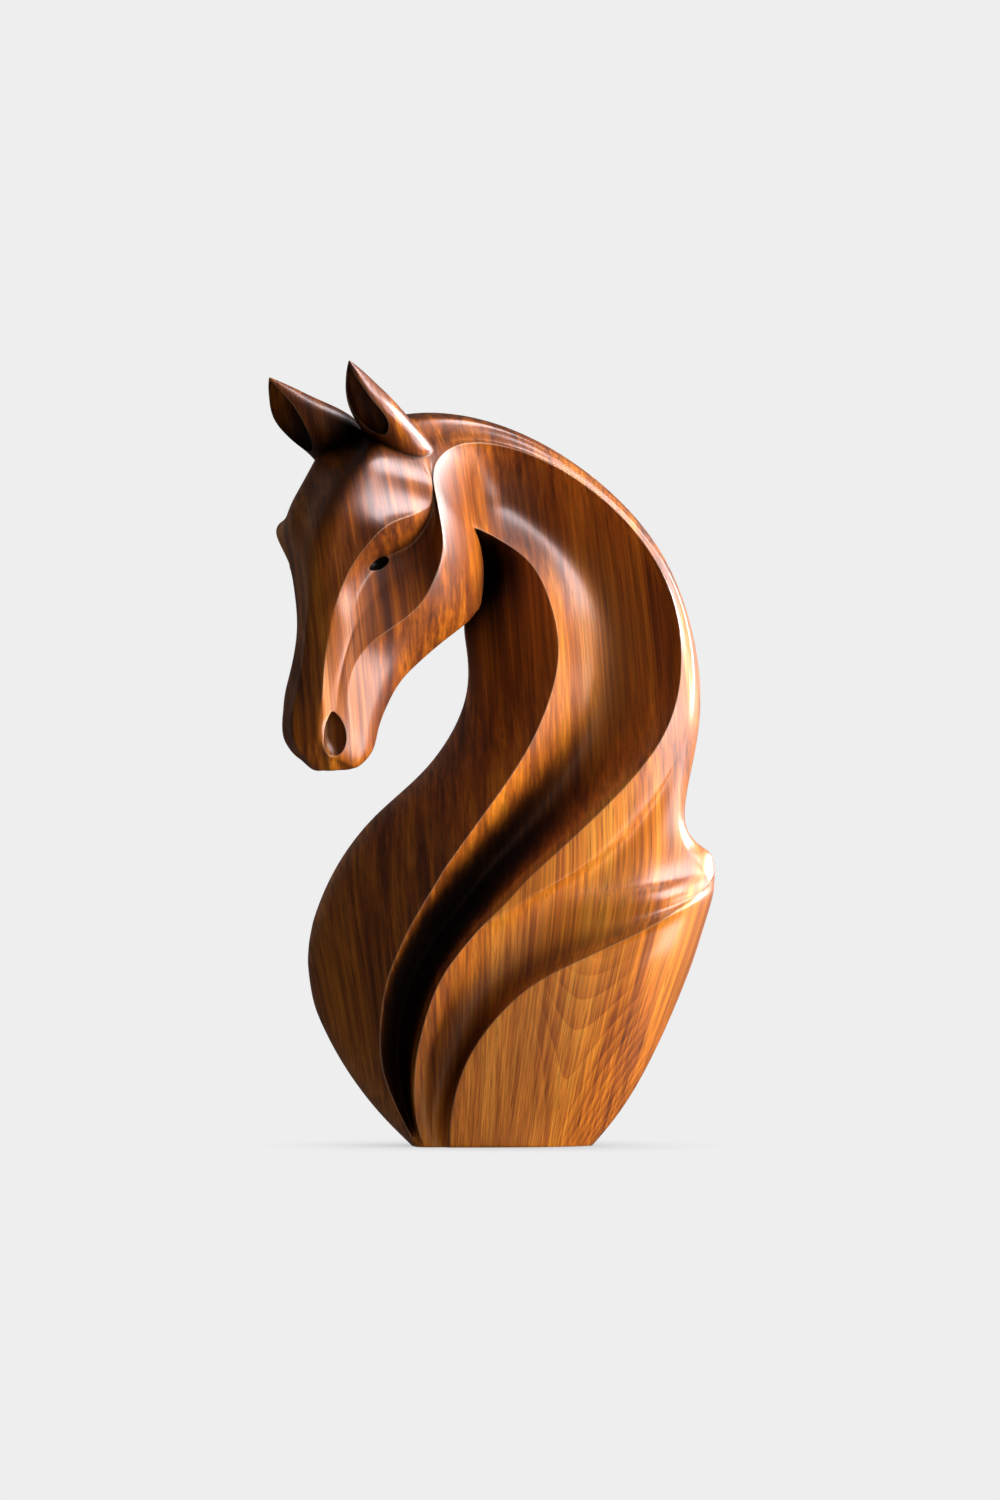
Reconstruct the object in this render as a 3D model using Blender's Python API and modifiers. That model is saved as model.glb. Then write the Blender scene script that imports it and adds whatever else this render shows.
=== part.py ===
"""Carved wooden horse figurine: head, neck and base cut from one block of wood.

The shape is one tube of sections. It runs from the muzzle (station 0) up the
face, over the poll, down the neck and out to the flat underside (station 41).
Carved lines run along the tube. Each is a few rows of station, x, z and half
width: x and z as the line is seen from the front, and the half width from the
middle plane of the figure. The head's part of that plane is turned towards
the viewer's left. Millimetres in the tables, metres in the model, +Z up,
front towards -Y, origin under the middle of the figure.
"""

import math

import bmesh
import bpy
import numpy as np

NAME = "horse_figurine"
MM = 0.001

HEIGHT = 349.8
WIDTH = 199.9

# The lines are drawn at this size, around this middle, and the figure is made to the one above.
DRAWN_HEIGHT = 344.05
DRAWN_WIDTH = 199.0
DRAWN_MIDDLE_X = 0.31
DRAWN_MIDDLE_Y = -23.37
DRAWN_BASE = 1.53
VIEW_DISTANCE = 4000.0
VIEW_HEIGHT = 175.0
BASE_NEAR = 35.0
HEAD_TURN = math.radians(45)
TURN_ENDS = (13, 24)
TURN_AXIS_X = -10.0
LAST_STATION = 41
FAR_DEPTH = 0.6
FAR_FOREHEAD = 0.52
FAR_FOREHEAD_START = (7, 11)

CREST = (
    (0, -79.5, 168.6, 0), (1, -88, 178, 0), (4, -84.8, 217, 0), (6, -82.5, 241, 0), (10, -83.5, 280, 0),
    (14, -64.5, 312.5, 0), (19, -14.5, 325.2, 0), (21, 17, 315.6, 0), (25, 77.5, 261.5, 0),
    (26, 86.3, 242, 0), (28, 93.5, 204, 0), (32, 88.3, 140, 0), (33, 95.8, 132.8, 0), (33.5, 98.9, 128, 0),
    (34, 99.8, 122.3, 0), (36, 93.2, 93, 0), (38, 79.8, 58, 0), (39, 70.5, 38, 0), (40, 60.3, 20, 0),
    (41, 46.5, 0, 0),
)
BROW = (
    (0, -74.5, 168.5, 4), (1, -77.5, 182, 11.4), (2, -76.8, 195, 12), (4, -74, 225, 10), (7, -63, 258, 19.8),
    (9, -50.8, 273.3, 32.6), (13, -28.6, 289.4, 34.3), (14, -30, 298, 34.2), (15, -36, 307.5, 30.5),
    (17, -26, 317.7, 23.5), (20, 9, 315.3, 19.5), (21, 25, 308.2, 19), (25, 80.5, 253.3, 17.5),
    (28, 91, 199, 16.8), (30, 85.5, 164, 14.8), (31, 83, 148, 13.6), (32, 84, 138, 13), (33, 88, 126, 13.2),
    (33.5, 91.6, 121, 13.8), (34, 96, 116, 13), (34.5, 84.5, 107, 28), (35, 70, 98, 39.5), (36, 38, 83, 43),
    (37, 12, 68, 43.5), (40, -18.3, 14.5, 29), (41, -19, 0, 24),
)
SOCKET = (
    (0, -73, 168.2, 5.5), (1, -74, 177.5, 11.8), (3, -72, 204, 12.5), (5, -65, 230, 13),
    (7, -57, 252.5, 14.4), (8, -48.8, 261.5, 17.4), (9, -40, 266, 22), (12, -27, 283.8, 33.9),
    (13, -27, 289.7, 34.4), (14, -28.4, 298, 34.2), (15, -33, 307.2, 31.2), (17, -21, 315.7, 25.3),
    (20, 13, 312.5, 20.8), (24, 71.4, 267.2, 18.9), (26, 87.3, 232.7, 18.6), (28, 89.5, 197, 18.9),
    (30, 83.5, 165, 17.4), (31, 77.5, 149.5, 18.8), (32, 70, 134.5, 21), (33, 68, 120.5, 25),
    (34, 72, 109.5, 32), (35, 46, 95, 35), (36, 18, 80.5, 32.5), (37, -1, 65, 31.5),
    (38, -11, 48, 28.5), (40, -23, 14.5, 23), (41, -22.5, 0, 21),
)
FLUTE = (
    (0, -70.5, 168, 6), (1, -68.5, 175, 12.6), (3, -68, 199.5, 13.8), (5, -62.8, 224.5, 13.8),
    (7, -49.5, 244, 18.3), (9, -32.5, 258, 28.2), (13, -25.9, 289.9, 34.9), (14, -26.8, 298, 34.2),
    (15, -28.3, 306.8, 31.8), (17, -15, 313.4, 27.7), (19, 5.5, 312.7, 24.8), (23, 60.5, 277.9, 20.6),
    (25, 80.6, 247.3, 20.3), (28, 87.5, 197, 21.2), (29, 84.8, 184, 21.4), (30, 79, 168, 22.2),
    (31, 68, 150, 25.8), (32, 46, 131, 33.5), (33, 27, 117.5, 38.5), (34, 8, 105, 40.5),
    (35, -5, 94.5, 40.5), (36, -15, 78, 38.5), (37, -23, 61, 36.5), (38, -27.5, 46, 33),
    (40, -29.5, 15, 24.5), (41, -27.5, 0, 21.5),
)
CHEEK = (
    (0, -68.5, 168, 6), (1, -63.5, 172, 12.7), (3, -65, 197.5, 14.9), (4, -64.3, 207, 14.7),
    (5, -60.3, 217.3, 15.6), (8, -32, 241.8, 30.2), (10, -23.3, 260, 37), (15, -24, 306.2, 32.5),
    (19, 9, 310.7, 26.5), (22, 49, 288.5, 22.5), (24, 73, 261.5, 21), (27, 85, 212, 24),
    (30, 64.5, 165, 32), (32, 35, 137, 37.5), (33, 18, 121.5, 40), (34, 5, 108, 41.5), (35, -8, 95, 42.5),
    (36, -20, 80, 42.5), (38, -33, 46, 36.5), (39.5, -35, 22, 27.5), (41, -31, 0, 21.5),
)
JAW = (
    (0, -65.5, 168, 5.5), (1, -59.5, 169.9, 10), (2, -53.7, 176.5, 12), (3, -51, 186.5, 11.8),
    (5, -41, 207.3, 12), (7, -22.8, 224.3, 15.5), (9, -7.2, 238, 18.5), (11, -3.9, 257, 20.5),
    (12, -5.2, 267, 21.5), (14, -7.8, 275.2, 23.5), (15, -5.2, 274.3, 24.5), (17, 2, 270.8, 25.5),
    (21, 21, 254.2, 27.5), (26, 28.5, 208.5, 30.5), (30, 7.5, 163.5, 36), (33, -20, 126, 40.5),
    (37, -49, 65, 37), (38, -50.6, 47, 33.5), (40, -42.5, 17.5, 24), (41, -35, 0, 18),
)
THROAT = (
    (0, -70.5, 168, 0), (1, -67.5, 170, 0), (5, -51.5, 208.5, 0), (7, -34, 226.5, 0), (9, -17, 238, 0),
    (15, -3, 250.3, 0), (19, -8, 241, 0), (20, -12.2, 236, 0), (24, -11, 206.5, 0), (26, -17, 185.2, 0),
    (31, -67.5, 129.8, 0), (34, -82.3, 92, 0), (39, -62.3, 30.2, 0), (40, -52, 16.5, 0), (41, -38, 0, 0),
)
LINES = {
    "crest": CREST, "brow": BROW, "socket": SOCKET, "flute": FLUTE, "cheek": CHEEK, "jaw": JAW,
    "throat": THROAT,
}

# Between two lines the surface swells or hollows by these widths, (station, millimetres).
BETWEEN = {
    "crest side": ("crest", "brow", 0.22, (
        (0, 0.4), (4, 0.5), (6, 1), (7, 2.2), (12, 11), (18, 12), (22, 8), (27, 4), (31, 3.4), (33, 3.2),
        (34, 2.6), (36, 17), (41, 10))),
    "brow side": ("crest", "brow", 0.58, (
        (0, 0.4), (4, 0.5), (7, 1.6), (12, 8), (18, 7.5), (22, 5), (27, 3.2), (31, 2.8), (33, 2.6), (34, 2.4),
        (36, 13), (41, 8))),
    "ribbon": ("socket", "flute", 0.6, (
        (0, 0), (8, -0.5), (12, 0), (28, 0), (30, 0), (31, -1.5), (32, -4), (34, -4.5), (35, -4.5),
        (36, -3.5), (38, -2.5), (41, -0.5))),
    "rim": ("cheek", "jaw", 0.13, (
        (0, 0.1), (3, 0.3), (6, 0.8), (12, 1), (15, -1), (18, -4), (22, -6), (27, -6.5), (30, -4.5),
        (34, -4.5), (38, -4), (41, 0))),
    "groove": ("cheek", "jaw", 0.5, (
        (0, 1), (3, 1.4), (6, 2.6), (10, 3), (13, 2), (15, -3), (17, -9), (20, -13), (28, -18), (32, -27),
        (36, -32), (38, -25), (40, -9), (41, 0))),
    "neck band": ("cheek", "jaw", 0.8, (
        (0, 1), (10, 2), (13, 1), (15, -3), (17, -6.5), (20, -8.5), (26, -10), (29, -11), (32, -14),
        (36, -18), (38, -14), (41, 0))),
    "chest": ("jaw", "throat", 0.5, (
        (0, 1), (5, 3), (9, 1), (12, -5), (16, -6), (20, -1), (30, 5), (41, 3))),
}
AROUND = (
    "crest", "crest side", "brow side", "brow", "socket", "ribbon", "flute", "cheek", "rim", "groove",
    "neck band", "jaw", "chest", "throat",
)
STATIONS = (
    0, 0.5, 1, 2, 3, 4, 5, 6, 7, 8, 9, 10, 11, 12, 13, 14, 15.5, 17.5, 20, 22.5, 25, 27.5, 29.5, 31.5, 33,
    33.5, 34, 34.5, 35, 36, 37, 38.5, 40, 41,
)
# Sharp stretches of the lines: first station, last station, sharpness.
SHARP = {
    "brow": ((2, 12, 1.0), (12, 13, 0.5), (34, 41, 1.0)),
    "socket": ((5, 8, 0.45), (8, 12, 0.9), (12, 13, 0.4)),
    "flute": ((31, 34, 0.8), (34, 36, 0.3)),
    "cheek": ((2, 4, 0.4), (4, 41, 1.0)),
    "rim": ((28, 30, 0.4), (30, 40, 0.8)),
    "jaw": ((0, 9, 0.4), (9, 41, 1.0)),
}
FAR_BROW_SHARPNESS = 0.55
FAR_BROW_STATIONS = (6, 13)
LIP_STATION = 34
BASE_EDGE_ROUNDING = 1.8
BASE_SIDE_SHARPNESS = 0.3
FIT_ROUNDS = 6

# An ear's sections: depth below the tip, then middle and half length across the near view and the far view.
EAR_TIP_NEAR = 349.5
EAR_TIP_FAR = 342.0
EAR_POINTS = 8
EAR = (
    (0, 76.6, 0.5, 127.1, 0.6), (4.5, 73.2, 5.9, 119.9, 9.2), (9.5, 69.8, 10.2, 112.5, 16.5),
    (14.5, 65.9, 14.6, 103.2, 26.2), (22, 59.7, 18.9, 94.6, 31.4), (29.5, 52, 20.2, 84, 29.5),
    (34, 46.5, 21, 77, 27), (40, 41, 21, 72, 25.5), (44, 41.5, 18.5, 68.5, 22), (48, 42, 13, 62, 15),
)
# The hollow inside it: depth below the tip, middle along and across the head, half width, half depth.
EAR_HOLLOW = (
    (1.5, 101.2, 24.9, 0.5, 1), (6, 98.6, 24, 3.6, 5), (10, 96.2, 23.6, 6.1, 8.4),
    (14.5, 93.6, 23.3, 8.4, 11.6), (22, 89.8, 23.5, 10.2, 13.6), (28, 86.4, 23.6, 8.9, 11.5),
    (32, 83.5, 23.4, 5.2, 7), (34, 82.5, 23.5, 2, 2.5),
)
# Bowls cut in each side of the head: x, z and half width of the middle, half sizes along, up and in, tilt,
# and how far the widest place lies below the middle.
NOSTRIL_RIM = (-71.8, 183.8, 17.5, 11, 15.8, 6, 0.08, 0.15)
NOSTRIL = (-70.4, 183.6, 13.8, 7.2, 10.8, 8, 0.12, 0.25)
EYE = (-50.8, 259.4, 17.3, 6.8, 3, 5.5, 0.42, 0)
BOWL_RINGS = 6
BOWL_POINT = 1.2
BOWL_POINTS = 8


def smooth_step(start, end, at):
    t = np.clip((at - start) / (end - start), 0, 1)
    return t * t * (3 - 2 * t)


def curve(rows, at):
    """Smooth curve through rows of (station, values...), read at the stations in at."""
    rows = np.array(rows, float)
    knots, values = rows[:, 0], rows[:, 1:]
    step = np.diff(knots)[:, None]
    rise = np.diff(values, axis=0) / step
    slope = np.empty_like(values)
    slope[0], slope[-1] = rise[0], rise[-1]
    slope[1:-1] = (rise[:-1] * step[1:] + rise[1:] * step[:-1]) / (step[1:] + step[:-1])
    i = np.clip(np.searchsorted(knots, at, side="right") - 1, 0, len(knots) - 2)
    t = ((at - knots[i]) / step[i, 0])[:, None]
    start = (2 * t**3 - 3 * t**2 + 1) * values[i] + (t**3 - 2 * t**2 + t) * step[i] * slope[i]
    end = (3 * t**2 - 2 * t**3) * values[i + 1] + (t**3 - t**2) * step[i] * slope[i + 1]
    return start + end


def in_space(line, turn, side):
    """Points in millimetres from rows of x, z and half width. The side is 1 near, -1 far.

    A point is found on the near side, where it is seen, and mirrored in the
    middle plane for the far side. Nearer points are drawn in, as a viewer at
    VIEW_DISTANCE sees them larger.
    """
    x, z, width = np.transpose(line)
    along = (TURN_AXIS_X - x + width * np.sin(turn)) / np.cos(turn)
    width = width * side
    y = -along * np.sin(turn) - width * np.cos(turn)
    seen_y = -BASE_NEAR + (y + BASE_NEAR) * np.clip(z / 60, 0, 1)
    across = TURN_AXIS_X - along * np.cos(turn) + width * np.sin(turn)
    drawn = np.column_stack([
        across * (1 + y / VIEW_DISTANCE) - DRAWN_MIDDLE_X,
        y - DRAWN_MIDDLE_Y,
        VIEW_HEIGHT + (z - VIEW_HEIGHT) * (1 + seen_y / VIEW_DISTANCE) - DRAWN_BASE,
    ])
    return drawn * (WIDTH / DRAWN_WIDTH, HEIGHT / DRAWN_HEIGHT, HEIGHT / DRAWN_HEIGHT)


def half_sections(side):
    """One side of every section, as [around, station, xyz]."""
    at = np.array(STATIONS, float)
    turn = HEAD_TURN * (1 - smooth_step(*TURN_ENDS, at))
    lines = {name: curve(rows, at) for name, rows in LINES.items()}
    for name, (first, second, share, swell) in BETWEEN.items():
        line = lines[first] + (lines[second] - lines[first]) * share
        amount = curve(swell, at)[:, 0]
        if side < 0 and first == "crest":
            amount *= FAR_FOREHEAD * smooth_step(*FAR_FOREHEAD_START, at)
        elif side < 0 and first != "jaw":
            amount *= FAR_DEPTH
        line[:, 2] += amount
        lines[name] = line
    return [in_space(lines[name], turn, side) for name in AROUND]


def section_points():
    """Every section as [station, around, xyz], and last the flat foot, drawn in from the lowest section."""
    near = half_sections(1)
    far = half_sections(-1)
    sections = np.stack(near + far[-2:0:-1], axis=1)
    foot = sections[-1].copy()
    inward = foot.mean(axis=0) - foot
    foot += inward * BASE_EDGE_ROUNDING / np.linalg.norm(inward, axis=1)[:, None]
    foot[:, 2] = 0
    sections[-1, :, 2] = BASE_EDGE_ROUNDING
    return np.concatenate([sections, [foot]])


def new_object(name, points, faces, collection):
    mesh = bpy.data.meshes.new(name)
    mesh.from_pydata([tuple(point * MM) for point in points], [], faces)
    shape = bmesh.new()
    shape.from_mesh(mesh)
    bmesh.ops.recalc_face_normals(shape, faces=shape.faces)
    shape.to_mesh(mesh)
    shape.free()
    obj = bpy.data.objects.new(name, mesh)
    collection.objects.link(obj)
    return obj


def tube(name, sections, collection):
    """A closed tube through the sections, each a ring of points, with a point in the middle of each end."""
    count = len(sections[0])
    points = [point for ring in sections for point in ring]
    faces = []
    for start in range(0, count * (len(sections) - 1), count):
        for j in range(count):
            after = (j + 1) % count
            faces.append((start + j, start + after, start + count + after, start + count + j))
    for start, ring in ((0, sections[0]), (count * (len(sections) - 1), sections[-1])):
        points.append(np.mean(ring, axis=0))
        faces += [(start + j, start + (j + 1) % count, len(points) - 1) for j in range(count)]
    return new_object(name, points, faces, collection)


def smooth(obj, levels):
    modifier = obj.modifiers.new("Rounded form", "SUBSURF")
    modifier.levels = levels
    modifier.render_levels = levels
    return modifier


def sharpness(line, station, side):
    """How sharp a line is just after a station."""
    for start, end, amount in SHARP.get(line, ()):
        if start <= station < end or station == end == LAST_STATION:
            soft = line == "brow" and side < 0 and FAR_BROW_STATIONS[0] < station < FAR_BROW_STATIONS[1]
            return FAR_BROW_SHARPNESS if soft else amount
    return 0.0


def set_sharp_lines(obj):
    """Keeps the carved arrises, the lip behind the shoulder and the base's edge from being rounded away."""
    count = 2 * len(AROUND) - 2
    sharp = {}
    for j in range(count):
        side = 1 if j < len(AROUND) else -1
        line = AROUND[j] if side > 0 else AROUND[count - j]
        for i, station in enumerate(STATIONS):
            sharp[frozenset((i * count + j, (i + 1) * count + j))] = sharpness(line, station, side)
    for ring, amount in ((len(STATIONS) - 1, BASE_SIDE_SHARPNESS), (len(STATIONS), 1.0)):
        for j in range(count):
            sharp[frozenset((ring * count + j, ring * count + (j + 1) % count))] = amount
    lip = int(np.searchsorted(STATIONS, LIP_STATION)) * count
    brow = AROUND.index("brow")
    for j in range(-brow, brow):
        sharp[frozenset((lip + j % count, lip + (j + 1) % count))] = 1.0
    crease = obj.data.attributes.new("crease_edge", "FLOAT", "EDGE")
    for edge in obj.data.edges:
        crease.data[edge.index].value = sharp.get(frozenset(edge.vertices), 0.0)


def points_of(mesh):
    points = np.empty(len(mesh.vertices) * 3)
    mesh.vertices.foreach_get("co", points)
    return points.reshape(-1, 3)


def evaluated_points(obj):
    bpy.context.view_layer.update()
    evaluated = obj.evaluated_get(bpy.context.evaluated_depsgraph_get())
    points = points_of(evaluated.to_mesh())
    evaluated.to_mesh_clear()
    return points


def pull_onto_lines(obj):
    """Moves the cage until the rounded surface itself passes through the carved lines."""
    target = points_of(obj.data)
    cage = target.copy()
    on_lines = len(target) - 2
    for _ in range(FIT_ROUNDS):
        cage[:on_lines] += (target - evaluated_points(obj)[:len(target)])[:on_lines]
        obj.data.vertices.foreach_set("co", cage.ravel())
        obj.data.update()


def body(collection):
    obj = tube(NAME, section_points(), collection)
    set_sharp_lines(obj)
    modifier = smooth(obj, 2)
    pull_onto_lines(obj)
    modifier.levels = 1
    modifier.render_levels = 1
    return obj


def on_head(along, out, z, side):
    """Points in the turned head: distance along its middle plane, half width and height as seen."""
    x = TURN_AXIS_X - (along - out) * math.sqrt(0.5)
    return in_space(np.column_stack([x, z, out]), HEAD_TURN, side)


def ring_angles(count):
    return np.arange(count) * 2 * math.pi / count


def ear(side, collection):
    tip = EAR_TIP_NEAR if side > 0 else EAR_TIP_FAR
    angle = ring_angles(EAR_POINTS)
    rings = []
    for depth, near, near_half, far, far_half in EAR:
        near_at = near + near_half * np.cos(angle)
        far_at = far + far_half * np.sin(angle)
        z = np.full(EAR_POINTS, tip - depth)
        rings.append(on_head((far_at + near_at) / 2, (far_at - near_at) / 2, z, side))
    obj = tube("ear", rings, collection)
    smooth(obj, 1)
    return obj


def ear_hollow(side, collection):
    tip = EAR_TIP_NEAR if side > 0 else EAR_TIP_FAR
    angle = ring_angles(EAR_POINTS)
    rings = []
    for depth, along, out, half_width, half_depth in EAR_HOLLOW:
        z = np.full(EAR_POINTS, tip - depth)
        rings.append(on_head(along + half_depth * np.cos(angle), out + half_width * np.sin(angle), z, side))
    obj = tube("ear hollow", rings, collection)
    smooth(obj, 1)
    return obj


def bowl(size, side, collection):
    """An egg-shaped cutter on one side of the head."""
    x, z, out, half_along, half_up, half_in, tilt, lean = size
    middle = (TURN_AXIS_X - x) / math.sqrt(0.5) + out
    angle = ring_angles(BOWL_POINTS)
    rings = []
    for k in range(BOWL_RINGS):
        rise = math.pi * (k + 0.5) / BOWL_RINGS
        forward = half_along * math.sin(rise) ** BOWL_POINT * (1 - lean * math.cos(rise)) * np.cos(angle)
        up = half_up * math.cos(rise)
        along = middle + forward * math.cos(tilt) + up * math.sin(tilt)
        height = z + up * math.cos(tilt) - forward * math.sin(tilt)
        rings.append(on_head(along, out + half_in * math.sin(rise) * np.sin(angle), height, side))
    obj = tube("bowl", rings, collection)
    smooth(obj, 1)
    return obj


def combine(obj, other, operation):
    modifier = obj.modifiers.new(f"{operation.title()} {other.name}", "BOOLEAN")
    modifier.operation = operation
    modifier.object = other
    modifier.solver = "EXACT"
    other.hide_render = True
    other.display_type = "WIRE"


def wood():
    material = bpy.data.materials.new("walnut")
    material.use_nodes = True
    shader = material.node_tree.nodes["Principled BSDF"]
    shader.inputs["Base Color"].default_value = (0.30, 0.12, 0.035, 1)
    shader.inputs["Roughness"].default_value = 0.35
    return material


def new_collection(name, hidden=False):
    collection = bpy.data.collections.new(name)
    collection.hide_render = hidden
    bpy.context.scene.collection.children.link(collection)
    return collection


def main():
    for obj in list(bpy.data.objects):
        bpy.data.objects.remove(obj)
    figure = new_collection(NAME + "_figure")
    cutters = new_collection("cutters", hidden=True)
    horse = body(figure)
    for side in (1, -1):
        combine(horse, ear(side, cutters), "UNION")
    for side in (1, -1):
        combine(horse, ear_hollow(side, cutters), "DIFFERENCE")
        for size in (NOSTRIL_RIM, NOSTRIL, EYE):
            combine(horse, bowl(size, side, cutters), "DIFFERENCE")
    horse.data.materials.append(wood())
    horse.data.shade_smooth()
    horse.data.set_sharp_from_angle(angle=math.radians(35))


main()
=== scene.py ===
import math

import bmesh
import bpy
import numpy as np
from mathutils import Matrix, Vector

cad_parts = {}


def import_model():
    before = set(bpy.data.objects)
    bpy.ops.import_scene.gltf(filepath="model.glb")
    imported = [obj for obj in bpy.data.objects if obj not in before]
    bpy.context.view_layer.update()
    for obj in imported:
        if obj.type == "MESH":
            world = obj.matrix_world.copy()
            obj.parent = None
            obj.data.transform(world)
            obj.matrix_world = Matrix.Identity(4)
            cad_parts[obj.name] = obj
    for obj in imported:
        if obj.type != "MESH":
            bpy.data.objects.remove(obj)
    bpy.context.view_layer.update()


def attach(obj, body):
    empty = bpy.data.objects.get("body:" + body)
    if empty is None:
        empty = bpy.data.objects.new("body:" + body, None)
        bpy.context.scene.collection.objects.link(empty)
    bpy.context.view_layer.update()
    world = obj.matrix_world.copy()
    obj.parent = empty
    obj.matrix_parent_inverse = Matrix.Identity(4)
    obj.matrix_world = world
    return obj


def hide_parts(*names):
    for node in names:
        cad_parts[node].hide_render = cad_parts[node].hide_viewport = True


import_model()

# Studio picture of the carved wooden horse figurine.
#
# The solid of the CAD part is replaced by a finer surface of the same form,
# made from the same carved lines, with a procedural walnut finish. Then come
# the pale floor, the studio lights and the camera at the photograph's angle.
#
# The form is one tube of sections. It runs from the muzzle (station 0) up the
# face, over the poll, down the neck and out to the flat underside (station
# 41). Carved lines run along the tube. Each is a few rows of station, x, z and
# half width: x and z as the line is seen from the front, and the half width
# from the middle plane of the figure, which turns with the head. Lengths are
# millimetres in the tables of the form and metres everywhere else. +Z is up
# and the front is towards -Y.

MM = 0.001

# Real size of the figure.
HEIGHT = 349.8
WIDTH = 199.9

# The lines are drawn at this size, around this middle, and the figure is made to the one above.
DRAWN_HEIGHT = 344.05
DRAWN_WIDTH = 199.0
DRAWN_MIDDLE_X = 0.31
DRAWN_MIDDLE_Y = -23.37
DRAWN_BASE = 1.53

# Distance and height of the eye that the lines are drawn for. Up to BASE_NEAR_HEIGHT, heights are taken
# as seen towards the foot's near edge, which lies BASE_NEAR in front.
VIEW_DISTANCE = 4000.0
VIEW_HEIGHT = 175.0
BASE_NEAR = 35.0
BASE_NEAR_HEIGHT = 60.0

# The middle plane is turned by HEAD_TURN in the head, and turns back between the two stations.
HEAD_TURN = math.radians(45)
# Sine and cosine of the head's turn, which are the same at 45 degrees.
HEAD_SLANT = math.sqrt(0.5)
TURN_ENDS = (13, 24)
TURN_AXIS_X = -10.0
LAST_STATION = 41

# The shares of the near side's swells and hollows that the far side has. The forehead's grows between
# the two stations.
FAR_DEPTH = 0.6
FAR_FOREHEAD = 0.52
FAR_FOREHEAD_START = (7, 11)

# Rounds of smoothing while the body is fitted to its lines, rounds of that fitting, and rounds of
# smoothing for the picture. Edges that turn by more than SHARP_ANGLE are shaded sharp.
FIT_LEVELS = 2
FIT_ROUNDS = 6
FINE_LEVELS = 3
SHARP_ANGLE = math.radians(32)

# The carved lines, from the crest round to the throat.
CREST = (
    (0, -79.5, 168.6, 0), (1, -88, 178, 0), (4, -84.8, 217, 0), (6, -82.5, 241, 0), (10, -83.5, 280, 0),
    (14, -64.5, 312.5, 0), (19, -14.5, 325.2, 0), (21, 17, 315.6, 0), (25, 77.5, 261.5, 0),
    (26, 86.3, 242, 0), (28, 93.5, 204, 0), (32, 88.3, 140, 0), (33, 95.8, 132.8, 0), (33.5, 98.9, 128, 0),
    (34, 99.8, 122.3, 0), (36, 93.2, 93, 0), (38, 79.8, 58, 0), (39, 70.5, 38, 0), (40, 60.3, 20, 0),
    (41, 46.5, 0, 0),
)
BROW = (
    (0, -74.5, 168.5, 4), (1, -77.5, 182, 11.4), (2, -76.8, 195, 12), (4, -74, 225, 10), (7, -63, 258, 19.8),
    (9, -50.8, 273.3, 32.6), (13, -28.6, 289.4, 34.3), (14, -30, 298, 34.2), (15, -36, 307.5, 30.5),
    (17, -26, 317.7, 23.5), (20, 9, 315.3, 19.5), (21, 25, 308.2, 19), (25, 80.5, 253.3, 17.5),
    (28, 91, 199, 16.8), (30, 85.5, 164, 14.8), (31, 83, 148, 13.6), (32, 84, 138, 13), (33, 88, 126, 13.2),
    (33.5, 91.6, 121, 13.8), (34, 96, 116, 13), (34.5, 84.5, 107, 28), (35, 70, 98, 39.5), (36, 38, 83, 43),
    (37, 12, 68, 43.5), (40, -18.3, 14.5, 29), (41, -19, 0, 24),
)
SOCKET = (
    (0, -73, 168.2, 5.5), (1, -74, 177.5, 11.8), (3, -72, 204, 12.5), (5, -65, 230, 13),
    (7, -57, 252.5, 14.4), (8, -48.8, 261.5, 17.4), (9, -40, 266, 22), (12, -27, 283.8, 33.9),
    (13, -27, 289.7, 34.4), (14, -28.4, 298, 34.2), (15, -33, 307.2, 31.2), (17, -21, 315.7, 25.3),
    (20, 13, 312.5, 20.8), (24, 71.4, 267.2, 18.9), (26, 87.3, 232.7, 18.6), (28, 89.5, 197, 18.9),
    (30, 83.5, 165, 17.4), (31, 77.5, 149.5, 18.8), (32, 70, 134.5, 21), (33, 68, 120.5, 25),
    (34, 72, 109.5, 32), (35, 46, 95, 35), (36, 18, 80.5, 32.5), (37, -1, 65, 31.5),
    (38, -11, 48, 28.5), (40, -23, 14.5, 23), (41, -22.5, 0, 21),
)
FLUTE = (
    (0, -70.5, 168, 6), (1, -68.5, 175, 12.6), (3, -68, 199.5, 13.8), (5, -62.8, 224.5, 13.8),
    (7, -49.5, 244, 18.3), (9, -32.5, 258, 28.2), (13, -25.9, 289.9, 34.9), (14, -26.8, 298, 34.2),
    (15, -28.3, 306.8, 31.8), (17, -15, 313.4, 27.7), (19, 5.5, 312.7, 24.8), (23, 60.5, 277.9, 20.6),
    (25, 80.6, 247.3, 20.3), (28, 87.5, 197, 21.2), (29, 84.8, 184, 21.4), (30, 79, 168, 22.2),
    (31, 68, 150, 25.8), (32, 46, 131, 33.5), (33, 27, 117.5, 38.5), (34, 8, 105, 40.5),
    (35, -5, 94.5, 40.5), (36, -15, 78, 38.5), (37, -23, 61, 36.5), (38, -27.5, 46, 33),
    (40, -29.5, 15, 24.5), (41, -27.5, 0, 21.5),
)
CHEEK = (
    (0, -68.5, 168, 6), (1, -63.5, 172, 12.7), (3, -65, 197.5, 14.9), (4, -64.3, 207, 14.7),
    (5, -60.3, 217.3, 15.6), (8, -32, 241.8, 30.2), (10, -23.3, 260, 37), (15, -24, 306.2, 32.5),
    (19, 9, 310.7, 26.5), (22, 49, 288.5, 22.5), (24, 73, 261.5, 21), (27, 85, 212, 24),
    (30, 64.5, 165, 32), (32, 35, 137, 37.5), (33, 18, 121.5, 40), (34, 5, 108, 41.5), (35, -8, 95, 42.5),
    (36, -20, 80, 42.5), (38, -33, 46, 36.5), (39.5, -35, 22, 27.5), (41, -31, 0, 21.5),
)
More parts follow.
